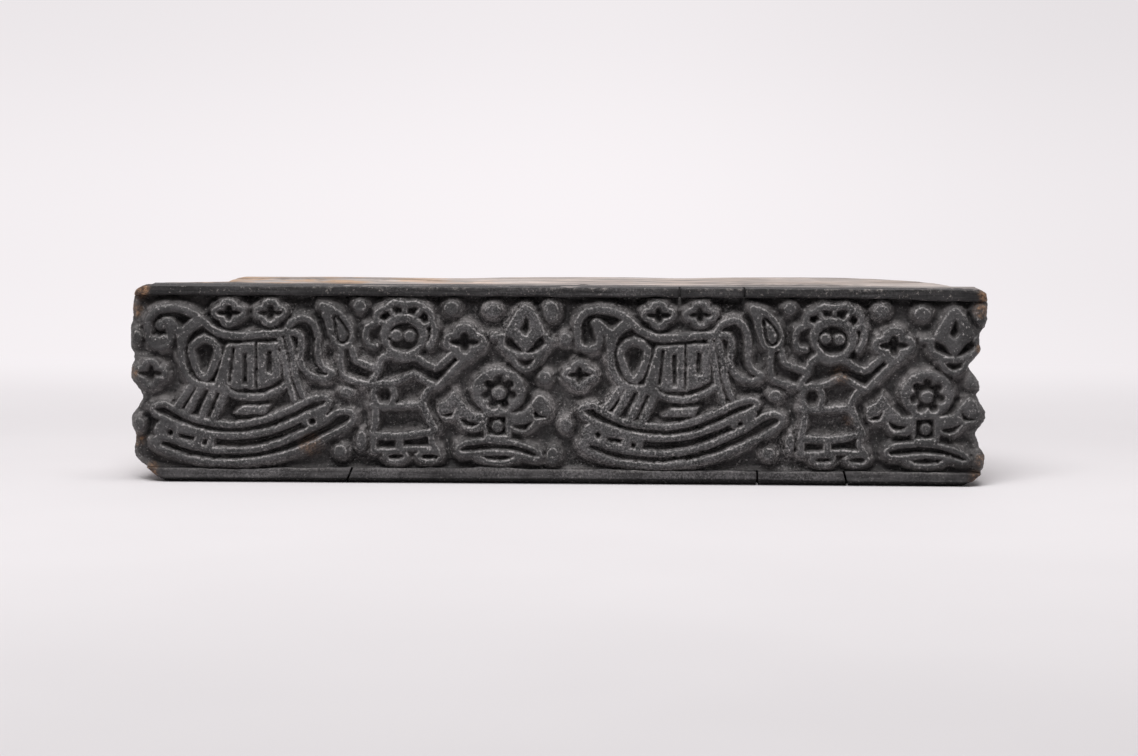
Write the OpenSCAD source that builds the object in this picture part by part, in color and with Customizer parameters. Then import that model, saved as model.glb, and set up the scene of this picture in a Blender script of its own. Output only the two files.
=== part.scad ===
// Wooden textile printing block, standing on its long side.
// A carved face board carries the printing relief, thin wooden slips let into its
// long edges print the two border lines, and a grip block is pegged to its back.
// +X runs along the face, the relief looks towards -Y and +Z is up. The origin is
// the middle of the base. Depths are measured back from the printing plane.

/* [Face board] */
// Length of the face board
face_length = 240; // [200:1:300]
// Height of the face board as it stands
face_height = 55.4; // [46:0.2:66]
// Thickness of the face board, with its relief
face_thickness = 13; // [10:0.5:18]
// Depth of the carving, from the printing plane to the ground
relief_depth = 5; // [3:0.25:6]
// Length of one repeat of the pattern
repeat_pitch = 120.5; // [100:0.5:150]
// Ground left bare between the relief and the edges of the board
relief_margin = 0.4; // [0.2:0.1:1]

/* [Border slips] */
// Height of the slip along the top edge
top_slip_h = 2.9; // [2:0.1:4]
// Height of the slip along the bottom edge
bottom_slip_h = 4; // [3:0.1:4.4]
// Depth of both slips, which reach below the ground
slip_depth = 7; // [6.2:0.1:8.5]
// Height of the bevel under the bottom slip
bevel_h = 1.3; // [0.6:0.1:2]
// Depth of the bevel under the bottom slip
bevel_depth = 2.4; // [1:0.1:4]
// Gap of the butt joints between slips
slip_gap = 0.3; // [0.1:0.05:0.6]
// First joint of the top slip, as a share of the length
top_joint_1 = 0.642; // [0.55:0.005:0.68]
// Second joint of the top slip, as a share of the length
top_joint_2 = 0.717; // [0.7:0.005:0.8]
// First joint of the bottom slip, as a share of the length
bottom_joint_1 = 0.26; // [0.2:0.005:0.4]
// Second joint of the bottom slip, as a share of the length
bottom_joint_2 = 0.734; // [0.6:0.005:0.76]
// Third joint of the bottom slip, as a share of the length
bottom_joint_3 = 0.835; // [0.8:0.005:0.9]
// How far the first joint of the bottom slip leans at its foot
lean_1 = -2.1; // [-3:0.1:3]
// How far the third joint of the bottom slip leans at its foot
lean_3 = 1.2; // [-3:0.1:3]

/* [Grip block] */
// Depth of the grip behind the left shoulder
grip_depth_left = 29.5; // [24:0.5:36]
// Depth of the grip before the right taper
grip_depth_right = 39; // [30:0.5:50]
// Thickness of the low toe where it meets the left shoulder
toe_depth = 9.5; // [6:0.5:14]
// Distance from the left end to the tip of the toe
toe_inset = 8; // [4:0.5:12]
// Distance from the left end to the shoulder
shoulder_inset = 25.4; // [20:0.2:36]
// Length of the curved shoulder
shoulder_run = 2.5; // [1:0.5:8]
// Length of the taper at the right end
taper_run = 41; // [30:0.5:60]
// Distance from the right end to the tip of the taper
tip_inset = 9; // [5:0.5:16]
// Thickness of the toe and the taper at their tips
tip_depth = 1.5; // [1:0.1:3]
// Rounding of the two long edges at the back
grip_round = 4; // [1:0.5:8]

/* [Pegs] */
// Diameter of a peg
peg_d = 9; // [6:0.5:12]
// Room around a peg for the glue
peg_clearance = 0.1; // [0.05:0.05:0.3]
// Distance of the pegs above or below the middle of the face
peg_rise = 9; // [0:0.5:14]
// Distance from the shoulder and the taper to the nearest peg
peg_inset = 14; // [8:0.5:24]

/* [Hidden] */

// The pattern is drawn in millimetres on one cell, whose scale follows the board
cell_w = 120.5;
cell_h = 55.4;
line_w = 2;
curve_steps = 2;
cell_scale = [repeat_pitch / cell_w, face_height / cell_h];
repeats = ceil(face_length / repeat_pitch);
overlap = 0.5;
total_depth = face_thickness + grip_depth_right;
top_slip_z = face_height - top_slip_h;
flat_start = shoulder_inset + shoulder_run;
flat_end = face_length - tip_inset - taper_run;
peg_count = 4;
peg_socket = (face_thickness - relief_depth) / 2;
peg_hole_d = peg_d + 2 * peg_clearance;

// Joints of the slips: share of the length, and lean at the foot
top_joints = [[top_joint_1, 0], [top_joint_2, 0]];
bottom_joints = [[bottom_joint_1, lean_1], [bottom_joint_2, 0], [bottom_joint_3, lean_3]];

// The left end of the board: distance in from the end, and height
left_end = [
    [9.5, 0], [6.5, 2.3], [3.5, 5], [1.8, 8.5], [1.9, 12.8], [0.3, 15.6], [0, 17.4],
    [1, 19.8], [2.8, 22.3], [3.6, 24.3], [2.4, 27], [0.4, 29], [0, 31], [0.4, 33],
    [1.3, 35.8], [1.1, 37.3], [0.2, 39.3], [0, 41.2], [0.4, 43.6], [1.1, 46.8],
    [1.2, 51.5], [1.9, 54.2], [3.5, 55.2], [5.5, 55.4]
];

// The right end of the board, in the same way
right_end = [
    [6.5, 0], [3.2, 1.8], [1.2, 4], [0.5, 6.3], [0.7, 8.8], [2.2, 11.2], [3.2, 14.3],
    [3, 15.6], [1.8, 17.2], [0.7, 19.2], [0.7, 21.3], [1.9, 23.4], [2.9, 26], [2, 27],
    [2.2, 29.6], [4.6, 33], [4.8, 34.4], [2, 37.5], [1.6, 39.3], [2, 41.7], [1.6, 43.6],
    [0.2, 46], [0, 48.3], [0.1, 53], [1, 54.7], [2.5, 55.4]
];

// Smooth curves through points chosen by hand

function between(a, b, c, d, t) =
    b + t / 2 * (c - a + t * (2 * a - 5 * b + 4 * c - d + t * (3 * (b - c) + d - a)));

function curve(pts) = concat(
    [for (i = [0 : len(pts) - 2], k = [0 : curve_steps - 1])
        between(pts[max(i - 1, 0)], pts[i], pts[i + 1],
            pts[min(i + 2, len(pts) - 1)], k / curve_steps)],
    [pts[len(pts) - 1]]);

function loop(pts) = let (n = len(pts))
    [for (i = [0 : n - 1], k = [0 : curve_steps - 1])
        between(pts[(i + n - 1) % n], pts[i], pts[(i + 1) % n], pts[(i + 2) % n],
            k / curve_steps)];

function sideways(a, b) = [a.y - b.y, b.x - a.x] / norm(b - a);

function open_side(pts, d) =
    [for (i = [0 : len(pts) - 1])
        pts[i] + d * sideways(pts[max(i - 1, 0)], pts[min(i + 1, len(pts) - 1)])];

function closed_side(pts, d) = let (n = len(pts))
    [for (i = [0 : n - 1]) pts[i] + d * sideways(pts[(i + n - 1) % n], pts[(i + 1) % n])];

function reversed(pts) = [for (i = [len(pts) - 1 : -1 : 0]) pts[i]];

// Pieces of relief

// A raised line with round ends
module line(pts, w = line_w) {
    path = curve(pts);
    polygon(concat(open_side(path, w / 2), reversed(open_side(path, -w / 2))));
    for (p = [pts[0], pts[len(pts) - 1]])
        translate(p) circle(d = w, $fn = 12);
}

// A raised line that closes on itself, its points given clockwise
module ring(pts, w = line_w) {
    path = loop(pts);
    difference() {
        polygon(closed_side(path, w / 2));
        polygon(closed_side(path, -w / 2));
    }
}

// A raised area with a curved edge
module area(pts) polygon(loop(pts));

// A raised dot or a round hole
module dot(u, z, w, h) translate([u, z]) scale([w, h] / 2) circle(r = 1, $fn = 14);

// A four-lobed blossom with a cross cut into it
module blossom(u, z, w, h) translate([u, z]) scale([w, h] / 2) difference() {
    for (a = [0 : 90 : 270])
        rotate(a) translate([0.46, 0]) circle(r = 0.54, $fn = 16);
    dot(0, 0, 1.3, 0.42);
    dot(0, 0, 0.46, 1.1);
}

// Figures of the pattern

module horse_head() {
    line([[4.8, 41], [4.6, 45.5], [7.5, 48.8], [13, 49.1], [17.5, 47.5], [22, 43.6],
        [26, 41.8], [31, 41.5], [37, 42], [43, 42.3]], 2.3);
    line([[4.8, 41], [5.6, 38.8], [8, 38], [10.5, 39.3], [10.8, 42], [9.8, 45]], 2.2);
    area([[8.6, 46.4], [10.8, 46.6], [12.6, 45.2], [14.3, 43.9], [16.3, 46], [18.5, 46.8],
        [20.5, 44.8], [18, 43.2], [15.9, 41], [14.9, 37], [12.8, 37.5], [12.3, 41.5],
        [10.2, 43.6], [8.4, 44.4]]);
}

module horse_body() {
    line([[13.8, 39], [13.9, 35.5], [14.6, 32], [16.3, 29], [19, 27.5], [23, 27]], 2.2);
    ring([[16.9, 38.2], [20.3, 40.7], [24.2, 38.2], [23, 33], [20.8, 29.4], [18.7, 31.2],
        [17.2, 35]], 2.3);
    difference() {
        polygon([[22.6, 26], [26.3, 38.4], [27, 39.2], [35, 39.7], [41.2, 39.9], [42, 35],
            [42, 29.4], [38.5, 27.4], [35, 26.4], [29, 26.4], [26.8, 27.6], [25, 25]]);
        line([[27.5, 28.4], [28.6, 37.8]], 0.8);
        line([[35, 25], [35, 41]], 0.7);
        for (slot = [[31.8, 32.3, 1.2, 9], [38.7, 34.3, 1.4, 6.2]])
            translate([slot[0], slot[1]]) square([slot[2], slot[3]], center = true);
    }
    line([[25, 26.4], [27.4, 25.5], [30, 24.5], [34.4, 24.1], [37.6, 24.6], [40.6, 25.8],
        [43.4, 27.6]], 2);
    line([[41.9, 40.5], [43.2, 34.5], [43.8, 29.5], [45.6, 23.2]], 1.8);
    line([[43.8, 41.5], [45.4, 36], [46.1, 30], [48.3, 24.6]], 1.9);
    polygon([[28.3, 19.3], [30.8, 21.8], [38.8, 22.1], [37.4, 19.4]]);
}

module horse_legs() {
    for (leg = [[16.9, 27.4, 12.8, 21.6], [19.6, 27.2, 15.8, 20.2], [23.1, 26.6, 19.7, 18.8],
            [26.6, 26.4, 23, 18.1]])
        line([[leg[0], leg[1]], [leg[2], leg[3]]], 2.3);
}

module horse_tail() {
    line([[43.2, 42.3], [45, 45.1], [48.3, 46.6], [51.3, 45], [52.5, 41], [52.4, 37],
        [53, 34], [54.6, 32.2], [56.6, 31.2]]);
    line([[43.2, 42.3], [46, 42.4], [47.7, 41], [47.9, 38], [47.4, 35], [48.4, 32.2],
        [51, 30.1], [54, 29.4], [56.6, 30.9]]);
}

module rockers() {
    ring([[5.9, 21.5], [9, 22.2], [12, 20.4], [17, 18], [24, 16.5], [31, 16.5], [38, 18.2],
        [45, 21], [50, 23.4], [53.8, 24.3], [55.4, 23], [54, 21.3], [49, 19], [43, 16.2],
        [36, 13.9], [29, 13.1], [22, 13.6], [16, 15], [10, 17.2], [6, 19.6]]);
    ring([[5.7, 11.4], [7.4, 12.5], [10, 12.1], [13.5, 10.9], [18, 9.8], [24, 9], [31, 8.9],
        [37, 9.9], [43, 12], [49, 14.6], [53, 16.8], [57, 19.6], [60, 20.5], [62.2, 19.3],
        [61.6, 17], [58, 14.6], [53, 12], [47, 9.4], [40, 7.1], [33, 5.8], [26, 5.5],
        [19, 6.1], [13, 7.3], [9, 8.9], [6.4, 10.2]]);
    dot(6.7, 11.1, 2.8, 2);
    difference() {
        area([[8.5, 17.6], [5.8, 15], [7, 12.4], [13, 11], [18, 9.8], [22.2, 9.6],
            [23.2, 11.4], [22.6, 13.4], [16, 14.8]]);
        dot(10.6, 13.9, 1.6, 1.8);
        polygon([[13.1, 13.5], [17.5, 12.8], [17, 11.7], [13.3, 12.4]]);
        polygon([[20.2, 12.3], [21.1, 12], [20.7, 10.4], [19.7, 10.6]]);
    }
    difference() {
        area([[47.2, 17.8], [49.5, 15.6], [52, 16.6], [54.2, 18.2], [55.6, 22], [52, 20.8]]);
        dot(50.6, 17.4, 1.7, 1.7);
    }
}

module leaf() {
    difference() {
        area([[52.8, 51], [56, 50.5], [59, 48.7], [61.6, 45.5], [62.8, 42], [62.4, 39.3],
            [60.8, 38], [58.2, 38], [56.2, 39.3], [55, 42.3], [54, 46], [52.9, 49]]);
        ring([[57, 47.4], [59, 45.5], [60.8, 43], [60.9, 41], [59.7, 39.7], [58.1, 40.3],
            [57.4, 42.5], [57.1, 45]], 0.8);
    }
}

module doll_head() {
    difference() {
        dot(76.6, 42, 13.8, 12);
        dot(76.6, 41.3, 8.8, 8.2);
    }
    for (u = [74.4, 78.2])
        dot(u, 41.7, 3.5, 3.2);
    line([[68.6, 38.6], [66.6, 39], [65.8, 41.5], [66.4, 44.3], [68.6, 45.3], [69, 48.2],
        [71.3, 49.3], [73.8, 50.8], [76.8, 50.4], [80, 50.8], [82.6, 49.4], [84.3, 48],
        [84.5, 45.8], [85.3, 43.8], [85, 41], [83.6, 38.6]], 2);
    for (a = [-62, -30, 2, 34, 66])
        translate([76.6, 42]) rotate(-a) translate([0, 7.4]) square([1.5, 3], center = true);
}

module doll_arms() {
    line([[59, 38], [58.9, 34], [59.5, 30.5], [62, 29.1], [67.5, 27.9]], 1.9);
    line([[62, 38], [62.7, 35], [65, 33.8], [69.5, 32.3]], 2.2);
    line([[69.5, 32.3], [70, 35], [72.5, 36.3], [76, 35.4], [79.5, 35.7], [82, 34.4],
        [85.3, 32.7], [87.5, 34.2], [89.8, 36.4]], 2.2);
    area([[71.5, 38.4], [72.5, 35.5], [76, 34.4], [80.2, 35.5], [81, 38.4], [76.6, 36.8]]);
    line([[67, 28], [69.6, 32.3]]);
    line([[67.5, 28], [71.9, 28.1], [75.5, 29.3], [79, 30.9], [82, 29.4], [85.4, 27.6],
        [87.5, 29], [93, 35]]);
    blossom(93.6, 39.9, 12.6, 11);
}

module doll_dress() {
    ring([for (a = [0 : 45 : 315]) [70.9 + 2.9 * sin(a), 25 + 3.5 * cos(a)]]);
    line([[84.6, 28], [82.6, 25.5], [81.3, 22.5]], 2.2);
    line([[67.6, 21.9], [72, 21.8], [77, 22], [82, 22.3]], 2.1);
    line([[68.5, 22], [68.6, 18], [67.8, 14.6]], 2.2);
    line([[81.8, 22], [83.4, 18.5], [85, 15.2]], 2.4);
    line([[67.6, 13.6], [72, 13.3], [76, 13.4], [80, 13.9], [85, 14.8]], 2.3);
}

module doll_feet() {
    line([[67.7, 14], [67.8, 9.4]]);
    line([[84.2, 14.4], [84.4, 11.4], [86, 9.2]]);
    line([[67.8, 9.2], [72, 9.2], [76, 9.7], [80, 9.9], [86, 9.4]], 1.7);
    line([[75.2, 13.4], [75.2, 9.6]], 2.3);
    for (toe = [74, 83.3]) difference() {
        area([[toe - 3.9, 8.2], [toe - 1, 9.8], [toe + 2.4, 9.6], [toe + 4, 7.8],
            [toe + 2.2, 5.6], [toe - 0.8, 5.3], [toe - 3, 6.6]]);
        dot(toe + 0.3, 7.6, 4.4, 1.3);
    }
}

module potted_flower() {
    petals = 7;
    difference() {
        dot(103.2, 26.3, 15.4, 13.4);
        dot(103.2, 25.9, 7.4, 7.2);
        for (i = [1 : petals])
            let (a = i * 360 / petals)
                dot(103.2 + 3.7 * sin(a), 25.9 + 3.7 * cos(a), 2.6, 2.6);
    }
    dot(103.2, 25.7, 3.9, 3.6);
    // Left leaf
    difference() {
        area([[86, 22.6], [88.4, 23.8], [90.4, 26.5], [92.6, 23.6], [96.5, 20], [99.8, 20],
            [98.8, 15.4], [95.6, 14.6], [92.6, 15.7], [91.2, 18], [88, 17.7], [86, 19.4]]);
        area([[92.4, 18.6], [93.6, 16.6], [95.8, 16.2], [97.2, 17.2], [95, 17.6]]);
        area([[86.9, 19.4], [89.8, 18.9], [90.8, 21.8], [89.8, 20.2]]);
    }
    // Right leaf
    difference() {
        area([[106, 20], [110, 20.6], [112.8, 23.8], [114.8, 25.6], [117, 24], [118, 21],
            [116.8, 18.4], [114, 17.4], [112, 15.3], [109.4, 14.2], [107, 14.7], [106, 17]]);
        area([[107, 16.6], [109, 15.4], [111, 15.8], [112.6, 17.8], [110, 16.8]]);
        area([[113, 21.3], [113.4, 18.8], [116.8, 19.1], [114.3, 19.8]]);
    }
    // Pot and its foot
    difference() {
        polygon([[98.6, 21], [107, 21], [106.6, 12.6], [99, 12.6]]);
        polygon([[100.2, 19.2], [105, 19.2], [105.2, 14], [99.9, 14]]);
    }
    dot(102.8, 16.5, 3.2, 3.4);
}

module dish() {
    ring([[91.6, 9.8], [93, 11.2], [96, 12], [102, 12.3], [108, 11.6], [113.2, 9.6], [115, 7.8],
        [113, 6.9], [108, 8.5], [102, 9], [96.5, 8.6], [93, 8.4]], 1.7);
    line([[96.3, 8.2], [99.5, 6.4], [103.5, 5.9], [107, 6.7], [109.6, 8.2]], 1.7);
}

module tulip() {
    difference() {
        area([[104.4, 42.6], [106.3, 46], [108.2, 49.3], [110.6, 51], [113.2, 49], [114.8, 46],
            [116.2, 42.6], [114, 40.8], [111.9, 38.4], [110.6, 36.4], [109.1, 38.4],
            [106.9, 40.8]]);
        polygon([[109.1, 43.4], [110.2, 46.2], [110.8, 47.4], [111.4, 46.2], [111.8, 43.6],
            [110.6, 41.9]]);
    }
    line([[101.5, 41.4], [104.3, 41.6]], 1.8);
    line([[104, 41.4], [103.9, 39], [106.4, 36.9], [110.5, 36], [114.4, 37], [117, 39.4],
        [116.4, 41.6]], 2);
    line([[106.4, 36.2], [108.2, 33.4], [110.5, 32.2], [112.8, 33.4], [114.4, 36.2]], 1.8);
    line([[116.6, 40.9], [118.4, 40.5]], 1.8);
}

module dots() {
    for (d = [[1.2, 41, 3.8, 4], [1.7, 16.6, 3.6, 4], [64.2, 50, 3.8, 3.6], [90, 49.4, 4.6, 4],
            [101.5, 48.8, 5, 4], [117.6, 48.8, 4.6, 6], [116, 30, 4, 4.2], [60.3, 25.6, 4.2, 3.4],
            [64.5, 12, 3, 6], [58.6, 9.1, 4, 3.8], [118.2, 8, 3.8, 5]])
        dot(d[0], d[1], d[2], d[3]);
    blossom(5.2, 30.8, 10, 9);
    blossom(27.3, 47.9, 10.2, 8.4);
    blossom(39, 48, 10, 8.2);
}

module horse() {
    horse_head();
    horse_body();
    horse_legs();
    horse_tail();
    rockers();
}

module doll() {
    leaf();
    doll_head();
    doll_arms();
    doll_dress();
    doll_feet();
}

module flowers() {
    potted_flower();
    dish();
    tulip();
}

// Outlines seen from the front and from above

// An end of the board, scaled so that its last point is at the top
function end_points(pts, at, way) = let (scale_up = face_height / pts[len(pts) - 1].y)
    [for (p = curve(pts)) [at + way * p.x * scale_up, p.y * scale_up]];

module board_outline() polygon(concat(
    end_points(left_end, 0, 1), reversed(end_points(right_end, face_length, -1))));

// A band across the board between two heights
module band(z0, z1) intersection() {
    board_outline();
    translate([0, z0]) square([face_length, z1 - z0]);
}

// The grip seen from above, with its flat front at the given depth
function grip_plan(front) = concat(
    [[toe_inset, front], [toe_inset, face_thickness + tip_depth]],
    [[shoulder_inset, face_thickness + toe_depth]],
    [for (a = [15 : 15 : 90])
        [shoulder_inset + shoulder_run * (1 - cos(a)),
            face_thickness + toe_depth + (grip_depth_left - toe_depth) * sin(a)]],
    [for (a = [0 : 9 : 90])
        [flat_end + taper_run * sin(a),
            face_thickness + tip_depth + (grip_depth_right - tip_depth) * cos(a)]],
    [[face_length - tip_inset, front]]);

// Places a front outline between two depths
module slab(y0, y1) translate([-face_length / 2, y1 - total_depth / 2, 0])
    rotate([90, 0, 0]) linear_extrude(y1 - y0) children();

function peg_u(i) = let (first = flat_start + peg_inset, last = flat_end - peg_inset)
    first + (last - first) * i / (peg_count - 1);
function peg_z(i) = face_height / 2 + (i % 2 == 0 ? peg_rise : -peg_rise);

// A round bar along Y, on the line of one peg, between two depths
module peg_bar(i, d, y0, y1)
    translate([peg_u(i) - face_length / 2, y1 - total_depth / 2, peg_z(i)])
        rotate([90, 0, 0]) cylinder(d = d, h = y1 - y0, $fn = 48);

// One figure of one repeat, standing out of the ground, its shapes merged by the offset
module relief(i) slab(0, relief_depth + overlap) offset(delta = 0) intersection() {
    translate([i * repeat_pitch, 0]) scale(cell_scale) children();
    offset(delta = -relief_margin) band(bottom_slip_h, top_slip_z);
}

// The pieces

module face_board() color("#3b3735") difference() {
    union() {
        slab(slip_depth, face_thickness) board_outline();
        slab(relief_depth, slip_depth + overlap) band(bottom_slip_h, top_slip_z);
        for (i = [0 : repeats - 1]) {
            relief(i) horse();
            relief(i) doll();
            relief(i) flowers();
            relief(i) dots();
        }
    }
    for (i = [0 : peg_count - 1])
        peg_bar(i, peg_hole_d, face_thickness - peg_socket, total_depth);
}

module grip_block() color("#bfafa6") difference() {
    intersection() {
        translate([-face_length / 2, -total_depth / 2, 0])
            linear_extrude(face_height) polygon(grip_plan(face_thickness));
        translate([-face_length / 2, 0, 0]) rotate([90, 0, 90]) linear_extrude(face_length)
            grip_section();
    }
    for (i = [0 : peg_count - 1])
        peg_bar(i, peg_hole_d, 0, 2 * total_depth);
}

// The grip seen along its length, with its back edges rounded
module grip_section() {
    translate([-total_depth / 2, 0]) square([total_depth - grip_round, face_height]);
    translate([-total_depth / 2, grip_round])
        square([total_depth, face_height - 2 * grip_round]);
    for (z = [grip_round, face_height - grip_round])
        translate([total_depth / 2 - grip_round, z]) circle(r = grip_round, $fn = 48);
}

// One length of a slip, between two joints that may lean
module slip_piece(joints, i, z0, z1) {
    start = i == 0 ? [0, 0] : joints[i - 1];
    stop = i == len(joints) ? [1, 0] : joints[i];
    u0 = start[0] * face_length + slip_gap / 2;
    u1 = stop[0] * face_length - slip_gap / 2;
    slab(0, slip_depth) intersection() {
        board_outline();
        polygon([[u0 + start[1], z0], [u0, z1], [u1, z1], [u1 + stop[1], z0]]);
    }
}

module top_slip(i) color("#49433f") slip_piece(top_joints, i, top_slip_z, face_height);

module bottom_slip(i) color("#49433f") difference() {
    slip_piece(bottom_joints, i, 0, bottom_slip_h);
    translate([-face_length, -total_depth / 2, 0]) rotate([90, 0, 90])
        linear_extrude(2 * face_length)
            polygon([[-1, -1], [bevel_depth, -1], [bevel_depth, 0], [0, bevel_h], [-1, bevel_h]]);
}

module peg(i) color("#b08f68") intersection() {
    peg_bar(i, peg_d, face_thickness - peg_socket, 2 * total_depth);
    translate([-face_length / 2, -total_depth / 2, 0])
        linear_extrude(face_height) polygon(grip_plan(0));
}

face_board();
grip_block();
top_slip(0);  // top_slip_left
top_slip(1);  // top_slip_centre
top_slip(2);  // top_slip_right
bottom_slip(0);  // bottom_slip_left
bottom_slip(1);  // bottom_slip_centre
bottom_slip(2);  // bottom_slip_right
bottom_slip(3);  // bottom_slip_end
peg(0);  // peg_1
peg(1);  // peg_2
peg(2);  // peg_3
peg(3);  // peg_4
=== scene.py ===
"""Looks of a wooden textile printing block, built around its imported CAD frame.

Shapes are worked out in millimetres in the row frame and written in metres. x runs along the
face, z is up, and depth is measured back from the printing plane, which looks towards -Y.
"""
import itertools
import math

import bmesh
import bpy
import numpy as np
from mathutils import Matrix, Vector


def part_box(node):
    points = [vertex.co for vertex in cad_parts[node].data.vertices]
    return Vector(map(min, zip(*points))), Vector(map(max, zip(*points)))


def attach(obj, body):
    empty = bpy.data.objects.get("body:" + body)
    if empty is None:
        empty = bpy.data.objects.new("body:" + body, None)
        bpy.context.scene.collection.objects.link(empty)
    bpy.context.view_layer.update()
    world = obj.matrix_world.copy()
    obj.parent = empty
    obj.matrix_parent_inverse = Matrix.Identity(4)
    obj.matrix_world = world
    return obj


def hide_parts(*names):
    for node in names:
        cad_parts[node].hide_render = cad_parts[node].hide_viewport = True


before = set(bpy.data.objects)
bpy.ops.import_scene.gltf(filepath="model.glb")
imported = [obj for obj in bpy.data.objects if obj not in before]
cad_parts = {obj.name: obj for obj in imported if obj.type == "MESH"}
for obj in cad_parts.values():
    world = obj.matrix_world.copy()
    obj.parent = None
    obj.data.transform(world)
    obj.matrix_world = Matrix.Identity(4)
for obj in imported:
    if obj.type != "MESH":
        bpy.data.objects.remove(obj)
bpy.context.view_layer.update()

MM = 0.001
# How close a point lies to a plane that it counts as on, in mm
ON_PLANE = 0.01


def box_mm(name):
    """Lowest and highest corner of a CAD node, in mm."""
    return [np.array(corner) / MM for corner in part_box(name)]


# Sizes read from the frame
board_low, board_high = box_mm("face_board")
FRONT_Y = board_low[1]
LEFT_X, RIGHT_X, TOP_Z = board_low[0], board_high[0], board_high[2]
BACK = board_high[1] - FRONT_Y
SLIP_LOW_Z = box_mm("bottom_slip_centre")[1][2]
SLIP_HIGH_Z = box_mm("top_slip_left")[0][2]
SLIP_DEPTH = box_mm("top_slip_left")[1][1] - FRONT_Y

# The ground of the carving: its mean depth, how far it sways, and the most before finer noise
GROUND, GROUND_SWAY, GROUND_MOST = 4.6, 1.4, 5.6
# Depth of the channel under the top slips, and of hollows that the relief closes in
CHANNEL, HOLLOW_DEPTH = 6.2, 5.0
# How much higher the ground stands at the ends, and how far in that reaches
LIP, LIP_REACH = 2.4, 4.5
# Depth at which the ground meets the bottom slips, and the reach of its climb to them
CLIMB_DEPTH, CLIMB_REACH = 3.0, 0.7
# Walls of narrow gaps and of closed hollows, and skirts round the relief in wide gaps
STEEP, HOLLOW_STEEP = 0.6, 0.8
SKIRT, SKIRT_SLOPE, SKIRT_DROP = 1.1, 1.25, 0.75
# Half the width of a narrow gap and of a wide one
NARROW, WIDE = 1.4, 2.4
# Rounding of the relief and of the ends, and how far in the wear of the ends reaches
SHOULDER, END_ROUND, WORN_REACH = 0.85, 1.3, 24.0
# How far from its edges the relief is measured: in the raster, in gaps and in masks
REACH, GAP_REACH, AWAY_LIMIT = 4.0, 2.4, 2.0
# Steps of the raster and of the face, and the probe for the direction of an edge
FIELD_STEP, CELL, PROBE = 0.15, 0.25, 0.1
# How far the raster runs past the ends, and how far from the slips open gaps are looked for
FIELD_MARGIN, OPEN_STRIP = 1, 0.5
# Rounds of softening between narrow and wide gaps
SOFTENING = 6

# Smooth noise
LATTICE = 64
table = np.random.default_rng(11).random((LATTICE, LATTICE, LATTICE))


def noise(x, y, z=0.0):
    """Smooth noise from -1 to 1, with features about one unit across."""
    axes = np.broadcast_arrays(*(np.asarray(v, float) for v in (x, y, z)))
    base = [np.floor(v).astype(int) for v in axes]
    part = [v - b for v, b in zip(axes, base)]
    part = [p * p * (3 - 2 * p) for p in part]
    total = 0
    for corner in itertools.product((0, 1), repeat=3):
        weight, index = 1, []
        for b, p, c in zip(base, part, corner):
            weight = weight * (p if c else 1 - p)
            index.append((b + c) % LATTICE)
        total = total + weight * table[tuple(index)]
    return 2 * total - 1


def smooth(low, high, value):
    """A soft step from 0 at low to 1 at high."""
    t = np.clip((value - low) / (high - low), 0, 1)
    return t * t * (3 - 2 * t)


# The pattern, read from the CAD relief


def plane_edges(name, depth):
    """Border lines of a node's faces on one plane across Y, as pairs of (x, z) points."""
    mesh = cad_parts[name].data
    mesh.calc_loop_triangles()
    co = np.empty(len(mesh.vertices) * 3)
    mesh.vertices.foreach_get("co", co)
    co = co.reshape(-1, 3) / MM
    tri = np.empty(len(mesh.loop_triangles) * 3, int)
    mesh.loop_triangles.foreach_get("vertices", tri)
    tri = tri.reshape(-1, 3)
    on_plane = np.abs(co[:, 1] - FRONT_Y - depth) < ON_PLANE
    tri = tri[on_plane[tri].all(1)]
    points, index = np.unique(np.round(co[:, [0, 2]], 3), axis=0, return_inverse=True)
    tri = index.ravel()[tri]
    edge = np.sort(np.concatenate([tri[:, [0, 1]], tri[:, [1, 2]], tri[:, [2, 0]]]), axis=1)
    edge, count = np.unique(edge, axis=0, return_counts=True)
    return points[edge[count == 1]]


def distance_field(edges):
    """Distance to the nearest edge on a raster of the face, below 0 inside the relief."""
    xs = np.arange(LEFT_X - FIELD_MARGIN, RIGHT_X + FIELD_MARGIN, FIELD_STEP)
    zs = np.arange(0, TOP_Z + FIELD_STEP, FIELD_STEP)
    field = np.full((len(zs), len(xs)), REACH)
    for a, b in edges:
        low, high = np.minimum(a, b) - REACH, np.maximum(a, b) + REACH
        i0, i1 = np.searchsorted(xs, [low[0], high[0]])
        j0, j1 = np.searchsorted(zs, [low[1], high[1]])
        px, pz = xs[i0:i1] - a[0], (zs[j0:j1] - a[1])[:, None]
        way = b - a
        t = np.clip((px * way[0] + pz * way[1]) / (way @ way), 0, 1)
        near = np.hypot(px - t * way[0], pz - t * way[1])
        field[j0:j1, i0:i1] = np.minimum(field[j0:j1, i0:i1], near)
    # Inside and outside, row by row, a little above the points of the outline
    for j, z in enumerate(zs + 1e-4):
        (ax, az), (bx, bz) = edges[:, 0].T, edges[:, 1].T
        cut = (az <= z) != (bz <= z)
        at = ax[cut] + (z - az[cut]) / (bz[cut] - az[cut]) * (bx[cut] - ax[cut])
        inside = np.searchsorted(np.sort(at), xs) % 2 == 1
        field[j, inside] *= -1
    return field


def sample(field, x, z):
    """Value of the raster between its points."""
    fx = np.clip((x - LEFT_X + FIELD_MARGIN) / FIELD_STEP, 0, field.shape[1] - 1.001)
    fz = np.clip(z / FIELD_STEP, 0, field.shape[0] - 1.001)
    i, j = fx.astype(int), fz.astype(int)
    s, t = fx - i, fz - j
    return ((field[j, i] * (1 - s) + field[j, i + 1] * s) * (1 - t)
            + (field[j + 1, i] * (1 - s) + field[j + 1, i + 1] * s) * t)


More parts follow.
